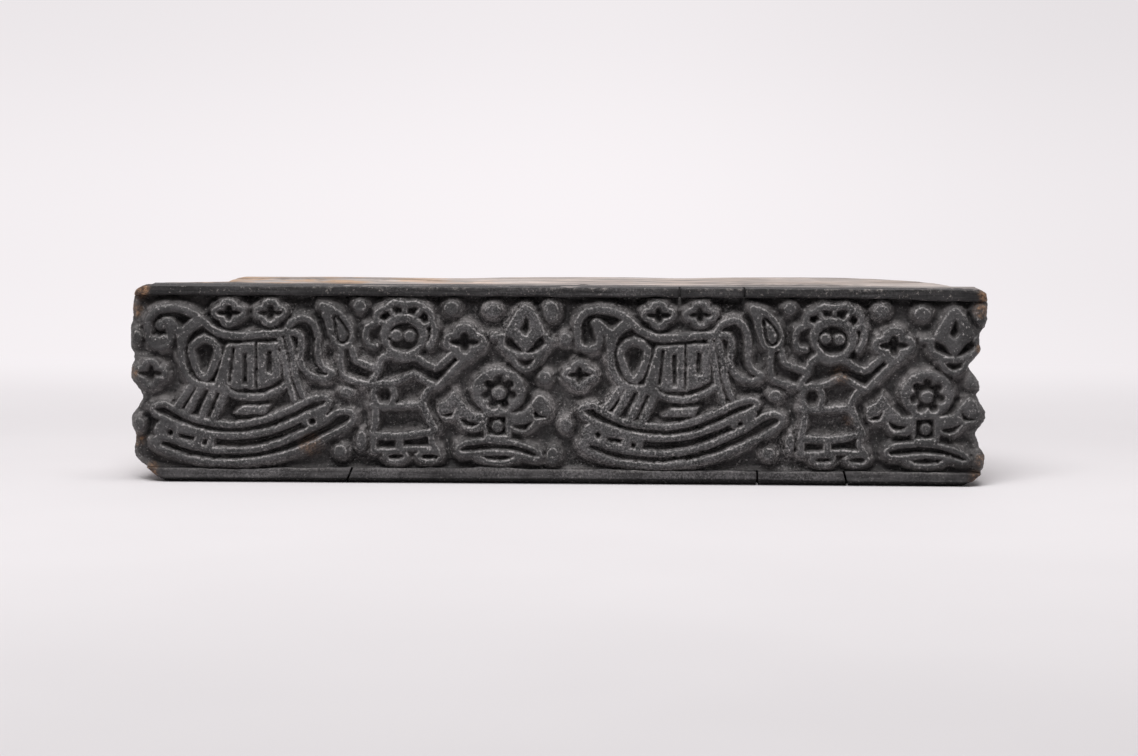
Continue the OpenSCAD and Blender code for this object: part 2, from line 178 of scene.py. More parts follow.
def gap_field(field):
    """Half the width of the gap that each point off the relief lies in."""
    gap = np.maximum(field, 0)
    off = field > 0
    for _ in range(int(GAP_REACH / FIELD_STEP)):
        grown = gap.copy()
        for axis, way in itertools.product((0, 1), (-1, 1)):
            grown = np.maximum(grown, np.roll(gap, way, axis))
        gap = np.where(off, grown, 0)
    # A soft change from narrow to wide
    weight = off.astype(float)
    total = gap
    for _ in range(SOFTENING):
        for axis in (0, 1):
            total = (np.roll(total, 1, axis) + total + np.roll(total, -1, axis)) / 3
            weight = (np.roll(weight, 1, axis) + weight + np.roll(weight, -1, axis)) / 3
    return total / np.maximum(weight, 1e-3)


def closed_field(field):
    """1 in the hollows that the relief closes in on all sides, and 0 elsewhere."""
    off = field > 0
    zs = np.arange(len(field)) * FIELD_STEP
    open_row = (zs < SLIP_LOW_Z + OPEN_STRIP) | (zs > SLIP_HIGH_Z - OPEN_STRIP)
    reached = off & open_row[:, None]
    count = 0
    while count < reached.sum():
        count = reached.sum()
        for grid, free in ((reached, off), (reached.T, off.T)):
            for way in (1, -1):
                rows, frees = grid[::way], free[::way]
                for i in range(1, len(rows)):
                    rows[i] |= rows[i - 1] & frees[i]
    closed = (off & ~reached).astype(float)
    for axis in (0, 1, 0, 1):
        closed = np.maximum(closed, np.maximum(np.roll(closed, 1, axis), np.roll(closed, -1, axis)))
    return closed


# The cutter left the curl of the first horse fuller: distance from the left end, height, radius
CURL = [(8.0, 44.4, 1.4), (6.9, 39.4, 2.0), (9.1, 40.2, 1.5)]


def add_curl(field):
    """The raster with the fuller curl added to the relief."""
    xs = LEFT_X - FIELD_MARGIN + np.arange(field.shape[1]) * FIELD_STEP
    zs = np.arange(field.shape[0])[:, None] * FIELD_STEP
    for u, height, radius in CURL:
        field = np.minimum(field, np.hypot(xs - LEFT_X - u, zs - height) - radius)
    return field


relief_field = add_curl(distance_field(plane_edges("face_board", 0)))
width_field = gap_field(relief_field)
hollow_field = closed_field(relief_field)

back_points = plane_edges("face_board", BACK).reshape(-1, 2)
# Points this close to an end belong to its outline, in mm
END_REACH = 15

# How far the broken ends stand out past their smooth outline: height and distance
LEFT_BULGE = [(0, 0.3), (4, 0.7), (7, 1.6), (14, 1.0), (17, 0.4), (24, 0.5), (27, 0.9), (31, 0.3),
              (34, 0.1), (37.5, 1.2), (41, 0.4), (50, 0.7), (55, 0.3)]
RIGHT_BULGE = [(0, 0.3), (12, 0.7), (18, 0.6), (28, 0.2), (39, -0.25), (46, 0.2), (49, -0.2),
               (52, 0)]
# How far their outline may stand out past the CAD box, in mm
END_SLACK = 0.25


def end_outline(points, side, bulge, seed):
    """The x of one end of the board by height, a little ragged."""
    points = points[np.argsort(points[:, 1])]
    heights, out = np.transpose(bulge)

    def place(z):
        x = (np.interp(z, points[:, 1], points[:, 0]) + side * np.interp(z, heights, out)
             + 0.26 * noise(z / 2.1, seed, 0.5) + 0.26 * noise(z / 0.8, seed, 1.5)
             + 0.14 * noise(z / 0.4, seed, 2.5))
        return np.clip(x, LEFT_X - END_SLACK, RIGHT_X + END_SLACK)

    return place


left_end = end_outline(back_points[back_points[:, 0] < LEFT_X + END_REACH], -1, LEFT_BULGE, 70.5)
right_end = end_outline(back_points[back_points[:, 0] > RIGHT_X - END_REACH], 1, RIGHT_BULGE, 80.5)

# Wear. Each spot is the distance from the left end, the height, the radius and the strength
SPOTS = [
    (2.6, 54.2, 3.2, 0.95), (1.2, 48.5, 2.4, 0.6), (1.5, 12.0, 2.4, 0.6), (5.6, 3.2, 2.4, 0.6),
    (238.2, 49.6, 2.4, 1.0), (239.4, 54.0, 2.6, 0.8), (238.4, 39.0, 1.9, 0.7),
    (239.0, 7.5, 2.2, 0.5), (237.4, 2.6, 2.4, 0.45), (50.5, 10.5, 4.0, 0.3),
    (199.2, 31.0, 3.2, 0.25), (201.5, 18.3, 1.8, 0.3), (0.6, 31.0, 2.0, 0.35),
]


def bare_at(x, depth, z):
    """How far the ink is worn off, from 0 to 1."""
    bare = np.zeros(np.broadcast(x, z).shape)
    for u, height, radius, strength in SPOTS:
        away = np.hypot(x - LEFT_X - u, z - height) / radius
        bare = np.maximum(bare, strength * (1 - smooth(0.35, 1.15, away)))
    ragged = 0.5 + 0.8 * noise(x / 1.1, z / 1.1, 3.3) + 0.4 * noise(x / 0.45, z / 0.45, 7.1)
    return np.clip(bare * (0.55 + ragged), 0, 1) * (1 - smooth(5, 9, depth + ragged))


# Where the ink ends by the top edge, by distance from the left end. Above 0 it has run back over
# the top side, and below 0 it is rubbed off the front
INK_END = [(26, 2.8), (36, 2.4), (48, 1.7), (62, 0.9), (74, 0.5), (84, 1.2), (118, 1.4), (123, 0.2),
           (128, 1.2), (137, 1.8), (160, 2.2), (172, 3.2), (205, 3.2), (214, 1.6), (228, 0.9)]
RUN_BACK, RUN_DOWN = 6.0, 0.9


def ink_at(x, depth, drop=0.0, fade=2.5):
    """How far old ink covers the board, from 0.1 to 1. drop is the distance below its top."""
    end = np.interp(x - LEFT_X, *np.transpose(INK_END))
    end = (end + 0.5 * noise(x / 4, depth / 5, 31.5) + 0.8 * noise(x / 1.6, depth / 2.5, 33.5)
           + 0.5 * noise(x / 0.8, depth / 1.2, 35.5))
    limit = np.where(end > 0, RUN_BACK, RUN_DOWN) * end
    place = depth - drop
    soft = np.where(place > 0, fade, 0.12)
    return 1 - 0.9 * smooth(-1.0, 1.0, (place - limit) / soft)


def edge_distance(x, z):
    """Distance from the edge of the relief as the knife cut it, below 0 on the relief."""
    far = smooth(30, 95, x)
    sway_x = 0.2 * noise(x / 9, z / 9, 1.5) + 0.14 * noise(x / 2.3, z / 2.3, 2.5) - 0.42 + 0.5 * far
    sway_z = 0.2 * noise(x / 9, z / 9, 5.5) + 0.14 * noise(x / 2.3, z / 2.3, 6.5) + 0.3 * far
    nick = smooth(0.4, 0.85, noise(x / 1.1, z / 1.1, 16.5))
    return (sample(relief_field, x + sway_x, z + sway_z) + 0.13 * noise(x / 1.2, z / 1.2, 8.5)
            + 0.1 * noise(x / 0.6, z / 0.6, 18.5) + 0.35 * nick)


def snap_to_edges(x, z):
    """Moves grid points that lie near an edge of the relief onto it, so that it stays crisp."""
    away = edge_distance(x, z)
    slope_x = (edge_distance(x + PROBE, z) - edge_distance(x - PROBE, z)) / (2 * PROBE)
    slope_z = (edge_distance(x, z + PROBE) - edge_distance(x, z - PROBE)) / (2 * PROBE)
    steep = np.maximum(slope_x ** 2 + slope_z ** 2, 0.3)
    shift = np.where(np.abs(away) < 0.5 * CELL * np.sqrt(steep), -away / steep, 0)
    shift[[0, -1]] = 0
    shift[:, [0, -1]] = 0
    return x + shift * slope_x, z + shift * slope_z


def carve(x, z):
    """Depth of the carved face at points of it, and masks for its material."""
    away = edge_distance(x, z)
    ground = GROUND + GROUND_SWAY * noise(x / 13, z / 13, 0.5)
    ground = np.minimum(ground, GROUND_MOST)
    ground = ground + 0.6 * noise(x / 5, z / 5, 26.5) + 0.3 * noise(x / 2.4, z / 1.7, 4.5)
    ground = ground + 0.16 * noise(x / 0.8, z / 0.7, 9.5)
    # A channel runs under the top slips, and the ground stands higher at the ends
    end = np.minimum(x - left_end(z), right_end(z) - x)
    lip = 1 - smooth(0.5, LIP_REACH, end)
    channel = 1 - smooth(0.6, 2.4, SLIP_HIGH_Z - z)
    ground = ground + (CHANNEL - ground) * channel * (1 - lip) - LIP * lip
    hollow = sample(hollow_field, x, z)
    ground = np.maximum(ground, HOLLOW_DEPTH * hollow)
    # Edges of the relief are rounded, and more so towards the ends
    worn = np.clip(1 - np.minimum(x - LEFT_X, RIGHT_X - x) / WORN_REACH, 0, 1)
    shoulder = SHOULDER * (1 + 0.6 * worn + 0.35 * noise(x / 11, z / 11, 25.5))
    rounding = SKIRT_SLOPE / 2 * shoulder * np.clip(1 + away / shoulder, 0, 1) ** 2
    top = (rounding + 0.05 * noise(x / 6, z / 3, 12.5)
           + 0.08 * noise(x / 2.2, z / 0.7, 13.5) + 0.06 * noise(x / 0.7, z / 0.6, 14.5))
    # Narrow gaps are cut steeply, and wide ones leave a sloping skirt round the relief
    out = np.maximum(away, 0)
    steep = (ground - top) * (1 - np.exp(-out / STEEP))
    skirt = SKIRT * (1 + 0.3 * noise(x / 4, z / 4, 15.5))
    slope = SKIRT_SLOPE * np.minimum(out, skirt)
    drop = 1 - np.exp(-np.maximum(out - skirt, 0) / SKIRT_DROP)
    sloping = slope + (ground - top - slope) * drop
    wide = smooth(NARROW, WIDE, sample(width_field, x, z) + 0.2 * noise(x / 3, z / 3, 17.5))
    wide = wide * (1 - HOLLOW_STEEP * hollow)
    depth = top + steep + (sloping - steep) * wide
    # Marks of the knife
    facet = 0.3 * noise(x / 1.9, z / 1.5, 19.5) + 0.2 * noise(x / 0.8, z / 0.7, 21.5)
    depth = depth + facet * smooth(0.1, 0.5, away)
    # The ground climbs a little against the bottom slips
    climb = 1 - np.exp(-(z - SLIP_LOW_Z) / CLIMB_REACH)
    depth = np.minimum(depth, CLIMB_DEPTH + (ground - CLIMB_DEPTH) * climb)
    # The ends are rounded off
    short = np.clip(END_ROUND - end, 0, END_ROUND)
    depth = depth + END_ROUND - np.sqrt(END_ROUND ** 2 - short ** 2)
    # Strength of the rubbed crest, which also carries its painted highlight
    crest = 0.62 + 0.55 * noise(x / 2.2, z / 2.2, 23.5) + 0.4 * noise(x / 5, z / 5, 24.5)
    crest = crest * (1 - 0.5 * worn)
    low = smooth(0.4, 0.9, depth / GROUND)
    return depth, low, np.clip(crest, 0, 1), np.clip(away, -AWAY_LIMIT, AWAY_LIMIT)


# Meshes. Points that lie closer than this, in metres, become one
MERGE = 1e-7


def add_object(name, data):
    """A new object in the scene."""
    made = bpy.data.objects.new(name, data)
    bpy.context.scene.collection.objects.link(made)
    return made


def make_piece(name, points, faces, node, masks=None, flat=()):
    """A piece from points in mm, with masks for its material, in place of a CAD node."""
    mesh = bpy.data.meshes.new(name)
    mesh.from_pydata((np.asarray(points) * MM).tolist(), [], faces)
    sharp = np.zeros(len(faces), bool)
    sharp[list(flat)] = True
    mesh.polygons.foreach_set("use_smooth", ~sharp)
    for key, values in (masks or {}).items():
        mesh.attributes.new(key, "FLOAT", "POINT").data.foreach_set(
            "value", np.asarray(values, np.float32).ravel())
    piece = add_object(name, mesh)
    work = bmesh.new()
    work.from_mesh(mesh)
    bmesh.ops.remove_doubles(work, verts=work.verts, dist=MERGE)
    bmesh.ops.recalc_face_normals(work, faces=work.faces)
    work.to_mesh(mesh)
    work.free()
    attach(piece, "root")
    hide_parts(node)
    return piece


def rings_to_faces(count, size):
    """Faces between rings of points and over the first and the last ring."""
    ring = np.arange(count * size).reshape(count, size)
    after = np.roll(ring, -1, axis=1)
    quads = np.stack([ring[:-1], after[:-1], after[1:], ring[1:]], axis=-1).reshape(-1, 4)
    return quads.tolist() + [ring[0].tolist(), ring[-1][::-1].tolist()]


def to_frame(x, depth, z):
    """Points of the row frame, in mm, from depths behind the printing plane."""
    return np.stack(np.broadcast_arrays(x, FRONT_Y + depth, z), axis=-1)


# The carved face board, which stays just clear of the slips
WALL_STEPS = 7
BACK_STEPS = 10
SEAT_GAP = 0.05


def build_face():
    """The face board in rings round it, one for each height, with seats for the slips."""
    columns = int(round((RIGHT_X - LEFT_X) / CELL))
    rows = int(round((SLIP_HIGH_Z - SLIP_LOW_Z) / CELL))
    level = np.linspace(SLIP_LOW_Z, SLIP_HIGH_Z, rows + 1)
    level = np.concatenate([[0, SLIP_LOW_Z], level, [SLIP_HIGH_Z, TOP_Z]])[:, None]
    start, stop = left_end(level), right_end(level)
    z = level + np.zeros((1, columns + 1))
    x = start + (stop - start) * np.linspace(0, 1, columns + 1)
    depth = np.full_like(x, SLIP_DEPTH + SEAT_GAP)
    low, crest, away = np.full_like(x, 0.3), np.zeros_like(x), np.full_like(x, -AWAY_LIMIT)
    band = slice(2, -2)
    x[band], z[band] = snap_to_edges(x[band], z[band])
    depth[band], low[band], crest[band], away[band] = carve(x[band], z[band])
    # Round the ends and over the back
    share = np.linspace(0, 1, WALL_STEPS + 2)[1:-1]
    right = depth[:, -1:] + (BACK - depth[:, -1:]) * share
    left = depth[:, :1] + (BACK - depth[:, :1]) * share[::-1]
    behind = start + (stop - start) * np.linspace(1, 0, BACK_STEPS + 1)
    ring_x = np.concatenate([x, stop + 0.2 * noise(right / 2, level / 0.9, 20.5), behind,
                             start + 0.2 * noise(left / 2, level / 0.9, 30.5)], axis=1)
    ring_depth = np.concatenate([depth, right, np.full_like(behind, BACK), left], axis=1)
    rest = ring_x.shape[1] - columns - 1
    ring_z = np.concatenate([z, level + np.zeros((1, rest))], axis=1)
    points = to_frame(ring_x, ring_depth, ring_z)
    ink = 1 - smooth(2.5, 9, ring_depth) * 0.8
    ink[-2:] = ink_at(ring_x[-2:], ring_depth[-2:])
    ink[band, :columns + 1] = 1
    masks = {"low": np.pad(low, ((0, 0), (0, rest)), constant_values=0.2),
             "crest": np.pad(crest, ((0, 0), (0, rest))),
             "away": np.pad(away, ((0, 0), (0, rest)), constant_values=-AWAY_LIMIT),
             "ink": ink, "bare": bare_at(ring_x, ring_depth, ring_z)}
    faces = rings_to_faces(*points.shape[:2])
    size = points.shape[1]
    seats = [*range(2 * size), *range((len(level) - 3) * size, len(faces))]
    return make_piece("carved_face_board", points.reshape(-1, 3), faces,
                      "face_board", masks, seats)


face_board = build_face()

# The border slips
BEVEL_Z = 1.6
BEVEL_DEPTH = 2.4
JOINT_GAP = 0.3
SLIP_STEP = 0.5
# How wide a worn edge is, and how far the ends of the slips are rounded and pressed back
EDGE_REACH, SLIP_ROUND, PRESS = 0.9, 2.2, 0.8
# By distance from the left end: how far the edges towards the carving lie above a straight line,
# and the height of the bevel
TOP_RISE = [(200, 0.41), (222, -0.3), (240, -0.4)]
BOTTOM_RISE = [(15, 0), (30, -0.4), (50, 0.4), (70, 0.4), (90, 0.6), (115, 0.1), (132, 0.45),
               (154, 0), (216, 0.15), (232, -0.15)]
BEVEL = [(0, 1.3), (50, 1.55), (90, 1.7), (130, 1.8), (175, 1.95), (200, 1.55), (240, 1.4)]


def rounded(corners, side=0.45, turns=4):
    """A closed outline from (depth, z, radius) corners, with its sides cut into short steps."""
    corners = np.array(corners, float)
    outline = []
    count = len(corners)
    for i in range(count):
        here, radius = corners[i, :2], corners[i, 2]
        before, after = corners[i - 1, :2], corners[(i + 1) % count, :2]
        enter = here + radius * (before - here) / np.linalg.norm(before - here)
        leave = here + radius * (after - here) / np.linalg.norm(after - here)
        for t in np.linspace(0, 1, turns + 1):
            outline.append((1 - t) ** 2 * enter + 2 * t * (1 - t) * here + t ** 2 * leave)
        following = corners[(i + 1) % count, 2]
        stop = after + following * (here - after) / np.linalg.norm(here - after)
        steps = int(np.linalg.norm(stop - leave) / side)
        for t in np.linspace(0, 1, steps + 2)[1:-1]:
            outline.append(leave + t * (stop - leave))
    return np.array(outline)


def slip_end(name, side, low_z, high_z):
    """The x of one end of a slip by height: the end of the board, or a joint that may lean."""
    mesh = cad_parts[name].data
    co = np.array([v.co for v in mesh.vertices]) / MM
    pick = np.min if side < 0 else np.max
    if abs(pick(co[:, 0]) - (LEFT_X if side < 0 else RIGHT_X)) < END_REACH:
        return left_end if side < 0 else right_end
    foot = pick(co[co[:, 2] < low_z + ON_PLANE, 0])
    head = pick(co[co[:, 2] > high_z - ON_PLANE, 0])
    return lambda z: foot + (head - foot) * (z - low_z) / (high_z - low_z) - side * JOINT_GAP / 2


def build_slip(name, corners, free_edge, rises):
    """A slip with a worn front. free_edge is the height of its edge towards the carving."""
    low, high = box_mm(name)
    outline = rounded(corners)
    begin, end = (slip_end(name, side, low[2], high[2]) for side in (-1, 1))
    count = max(8, int((high[0] - low[0]) / SLIP_STEP))
    along = np.linspace(0, 1, count + 1)[:, None]
    depth, z = outline[None, :, 0], outline[None, :, 1]
    z = np.broadcast_to(z, (count + 1, len(outline))).copy()
    # Painted shade: the bevel and the underside of the bottom slips are masked to be painted dark
    under_shade = 1 - smooth(BEVEL_Z - 0.13, BEVEL_Z - 0.02, z)
    x = begin(z) + (end(z) - begin(z)) * along
    bevel = np.interp(x - LEFT_X, *np.transpose(BEVEL)) / BEVEL_Z - 1
    z = z * (1 + bevel * (1 - smooth(BEVEL_Z, BEVEL_Z + 1.2, z)))
    to_edge = np.exp(-((z - free_edge) / EDGE_REACH) ** 2)
    inward = np.sign(free_edge - (low[2] + high[2]) / 2)
    wave = 0.34 * noise(x / 7, 0.5, free_edge) + 0.18 * noise(x / 2, 1.5, free_edge)
    front = 1 - smooth(0.5, 4, depth)
    rise = np.interp(x - LEFT_X, *np.transpose(rises)) - inward * wave
    z = z + to_edge * front * rise
    chip = np.maximum(noise(x / 1.7, 2.5, 43.5) + 0.5 * noise(x / 0.8, 3.5, 44.5) - 0.15, 0)
    z = z - 0.25 * chip * (1 - smooth(0.2, 1.3, TOP_Z - z)) * (1 - smooth(0.5, 2.5, depth))
    ends = np.minimum(x - left_end(z), right_end(z) - x)
    round_off = np.clip(SLIP_ROUND - ends, 0, SLIP_ROUND)
    press = (SLIP_ROUND - np.sqrt(SLIP_ROUND ** 2 - round_off ** 2)) * PRESS
    worn = 0.08 * noise(x / 5, z / 1.2, 40.5) + 0.05 * noise(x / 1.4, z / 0.5, 41.5)
    depth = depth + front * (np.abs(worn) + press)
    z = z + 0.05 * noise(x / 4, depth / 1.5, 42.5) * (1 - to_edge)
    z = np.clip(z, 0, TOP_Z)
    points = to_frame(x, depth, z)
    corner = np.hypot(np.maximum(depth - EDGE_REACH, 0), np.minimum(z - low[2], high[2] - z))
    rim = np.exp(-(corner / 0.4) ** 2) * np.where(to_edge > 0.5, 1, 0.3) * (inward > 0)
    rim = rim * np.clip(0.55 + noise(x / 6, 4.5, 62.5), 0, 1)
    # The ink is rubbed off in flecks along the top edge
    rub = 0.9 * noise(x / 1.2, z / 0.9, 60.5) + 0.8 * noise(x / 0.6, z / 0.6, 61.5)
    rub = rub * np.exp(-((TOP_Z - z) / 0.5) ** 2) * (1 - smooth(0.5, 3, depth))
    rim = np.maximum(rim, np.clip(rub * smooth(30, 80, x - LEFT_X), 0, 1))
    masks = {"low": under_shade, "rim": rim,
             "ink": ink_at(x, depth, TOP_Z - z), "away": np.full_like(x, -AWAY_LIMIT),
             "bare": bare_at(x, depth, z)}
    faces = rings_to_faces(*points.shape[:2])
    return make_piece("worn_" + name, points.reshape(-1, 3), faces, name, masks,
                      [len(faces) - 2, len(faces) - 1])


TOP_CORNERS = [(0, SLIP_HIGH_Z, 0.9), (0, TOP_Z, 0.3), (SLIP_DEPTH, TOP_Z, 0.15),
               (SLIP_DEPTH, SLIP_HIGH_Z, 0.15)]
BOTTOM_CORNERS = [(0, BEVEL_Z, 0.15), (0, SLIP_LOW_Z, 0.45), (SLIP_DEPTH, SLIP_LOW_Z, 0.15),
                  (SLIP_DEPTH, 0, 0.15), (BEVEL_DEPTH, 0, 0.3)]
top_slips = [build_slip("top_slip_" + part, TOP_CORNERS, SLIP_HIGH_Z, TOP_RISE)
             for part in ("left", "centre", "right")]
bottom_slips = [build_slip("bottom_slip_" + part, BOTTOM_CORNERS, SLIP_LOW_Z, BOTTOM_RISE)
                for part in ("left", "centre", "right", "end")]

# The grip block. Its plan repeats the values of the part's source
TOE_U, SHOULDER_U, SHOULDER_RUN = 8.0, 25.4, 2.5
TIP_DEPTH, TOE_DEPTH = 1.5, 9.5
GRIP_LEFT, GRIP_RIGHT = 29.5, 39.0
TAPER_START, TAPER_RUN = 190.0, 41.0
GRIP_ROUND = 3.2
# Low places on the top side: x, reach and drop
SAGS = [(-31.0, 14.0, 0.4), (34.0, 11.0, 0.28)]
# A broken place on the top side, painted near-black as the shade in its recess: x, distance
# behind the joint, and its reach along x and back
HOLE_X, HOLE_BACK, HOLE_WIDE, HOLE_LONG = 6.9, 1.5, 1.7, 3.0


def grip_plan():
    """Stations along the back of the grip, as distance from the left end and depth."""
    stations = [(TOE_U, BACK + TIP_DEPTH)]
    for t in np.linspace(0, 1, 18)[1:]:
        stations.append((TOE_U + t * (SHOULDER_U - TOE_U),
                         BACK + TIP_DEPTH + t * (TOE_DEPTH - TIP_DEPTH)))
    for a in np.radians(np.linspace(0, 90, 16)[1:]):
        stations.append((SHOULDER_U + SHOULDER_RUN * (1 - math.cos(a)),
                         BACK + TOE_DEPTH + (GRIP_LEFT - TOE_DEPTH) * math.sin(a)))
    flat_start = SHOULDER_U + SHOULDER_RUN
    for t in np.linspace(0, 1, 161)[1:]:
        stations.append((flat_start + t * (TAPER_START - flat_start),
                         BACK + GRIP_LEFT + t * (GRIP_RIGHT - GRIP_LEFT)))
    for a in np.radians(np.linspace(0, 90, 50)[1:]):
        stations.append((TAPER_START + TAPER_RUN * math.sin(a),
                         BACK + TIP_DEPTH + (GRIP_RIGHT - TIP_DEPTH) * math.cos(a)))
    return stations


def back_depth(x):
    """Depth of the back of the grip."""
    plan = np.array(grip_plan())
    return np.interp(x - LEFT_X, plan[:, 0], plan[:, 1])


def planed(x, z):
    """Depth of the hollows that a hand plane left on the back of the grip."""
    return (0.22 * np.abs(noise(x / 30, z / 9, 50.5)) + 0.1 * np.abs(noise(x / 7, z / 3, 51.5))
            + 0.05 * np.abs(noise(x / 10, z / 0.9, 52.5)))


def section(back, count=22):
    """A ring round the grip at one station: top side, back and bottom side."""
    radius = min(GRIP_ROUND, 0.45 * (back - BACK))
    arc = np.radians(np.linspace(0, 90, 7))
    side = np.linspace(BACK, back - radius, count, endpoint=False)
    upper = np.stack([side, np.full(count, TOP_Z)], axis=1)
    bend = np.stack([back - radius + radius * np.sin(arc),
                     TOP_Z - radius + radius * np.cos(arc)], axis=1)
    rise = np.linspace(TOP_Z - radius, radius, count + 2)[1:-1]
    rear = np.stack([np.full(count, back), rise], axis=1)
    half = np.concatenate([upper, bend])
    lower = half[::-1] * [1, -1] + [0, TOP_Z]
    return np.concatenate([half, rear, lower])


def build_grip():
    """The grip in rings round it, one for each station of its plan."""
    plan = np.array(grip_plan())
    rings = [to_frame(LEFT_X + u, *section(back).T) for u, back in plan]
    points = np.array(rings)
    x, y, z = points[..., 0], points[..., 1], points[..., 2]
    depth = y - FRONT_Y
    back = plan[:, 1][:, None]
    # Hand-planed hollows on the back and worn long edges
    rear = smooth(-2.5, -0.2, depth - back)
    free = smooth(0.2, 2.5, depth - BACK)
    points[..., 1] -= rear * free * planed(x, z)
    level = (0.12 * np.abs(noise(x / 26, depth / 6, 53.5))
             + 0.06 * np.abs(noise(x / 9, depth / 0.9, 54.5)))
    for middle, reach, drop in SAGS:
        level = level + drop * np.exp(-((x - middle) / reach) ** 2)
    inward = np.sign(TOP_Z / 2 - z) * smooth(TOP_Z / 2 - 6, TOP_Z / 2, np.abs(z - TOP_Z / 2))
    points[..., 2] += inward * level * free * (z > TOP_Z / 2)
    edge = 1 - smooth(0, 4, np.minimum(np.abs(back - depth), back - BACK)
                      + np.minimum(z, TOP_Z - z))
    # The broken place is painted near-black, as painted shade in its recess
    hole = np.exp(-((x - HOLE_X) / HOLE_WIDE) ** 2 - ((depth - BACK - HOLE_BACK) / HOLE_LONG) ** 2)
    hole = hole * (z > TOP_Z / 2)
    ink = (ink_at(x, depth, 0.0, 9.0) - 0.1) / 0.9 * smooth(TOP_Z - 2, TOP_Z - 0.6, z)
    masks = {"edge": edge, "hole": smooth(0.3, 0.7, hole), "ink": ink}
    faces = rings_to_faces(*points.shape[:2])
    return make_piece("hand_grip", points.reshape(-1, 3), faces, "grip_block",
                      masks, [len(faces) - 2, len(faces) - 1])


grip = build_grip()

# Pegs, pared flush with the back of the grip
PEG_NAMES = [f"peg_{i}" for i in range(1, 5)]
PEG_SIDES = 48
# Room round a peg in its bore, and how far the bore is cut past its end
PEG_ROOM, BORE_OVERRUN = 0.2, 6.0
# Rings of points along a peg, as shares of its radius and of its length
PEG_RINGS = [(0.02, 0), (1, 0), (1, 0.5), (1, 0.97), (0.985, 0.99), (0.9, 1), (0.6, 1), (0.3, 1),
             (0.02, 1)]


def bore(piece):
    """Cuts the peg holes through the grip."""
    cutters = []
    turn = np.linspace(0, 2 * math.pi, 2 * PEG_SIDES, endpoint=False)
    for name in PEG_NAMES:
        low, high = box_mm(name)
        middle = (low + high) / 2
        radius = (high[0] - low[0]) / 2 + PEG_ROOM * (
            1 + 0.6 * noise(np.cos(turn) * 1.5, np.sin(turn) * 1.5, middle[0]))
        x, z = middle[0] + radius * np.cos(turn), middle[2] + radius * np.sin(turn)
        ends = [low[1] - FRONT_Y, high[1] - FRONT_Y + BORE_OVERRUN]
        points = np.array([to_frame(x, end, z) for end in ends])
        mesh = bpy.data.meshes.new("bore")
        mesh.from_pydata((points.reshape(-1, 3) * MM).tolist(), [],
                         rings_to_faces(2, 2 * PEG_SIDES))
        mesh.flip_normals()
        cutter = add_object("bore", mesh)
        cutters.append(cutter)
        cut = piece.modifiers.new("bore", "BOOLEAN")
        cut.operation, cut.solver, cut.object = "DIFFERENCE", "EXACT", cutter
    graph = bpy.context.evaluated_depsgraph_get()
    cut_mesh = bpy.data.meshes.new_from_object(piece.evaluated_get(graph))
    piece.modifiers.clear()
    piece.data = cut_mesh
    for cutter in cutters:
        bpy.data.objects.remove(cutter)


bore(grip)


def build_peg(name, index):
    """A whittled peg whose end follows the planed back of the grip."""
    low, high = box_mm(name)
    middle = (low + high) / 2
    radius = (high[0] - low[0]) / 2
    turn = np.linspace(0, 2 * math.pi, PEG_SIDES, endpoint=False)
    whittle = 1 - 0.012 * (1 + noise(np.cos(turn) * 2, np.sin(turn) * 2, index * 3.3))
    rings = []
    for share, depth_share in PEG_RINGS:
        r = radius * share * whittle
        x, z = middle[0] + r * np.cos(turn), middle[2] + r * np.sin(turn)
        rear = back_depth(x) - planed(x, z)
        start = low[1] - FRONT_Y
        pared = 0.1 * noise(x / 2.5, z / 2.5, index * 1.7) + 0.06
        stop = rear + pared - 0.25 * max(0.0, share - 0.9) * 10 * (depth_share == 1)
        rings.append(to_frame(x, start + (stop - start) * depth_share, z))
    points = np.array(rings)
    faces = rings_to_faces(*points.shape[:2])
    return make_piece("pared_" + name, points.reshape(-1, 3), faces, name)


pegs = [build_peg(name, i) for i, name in enumerate(PEG_NAMES, 1)]

# Materials


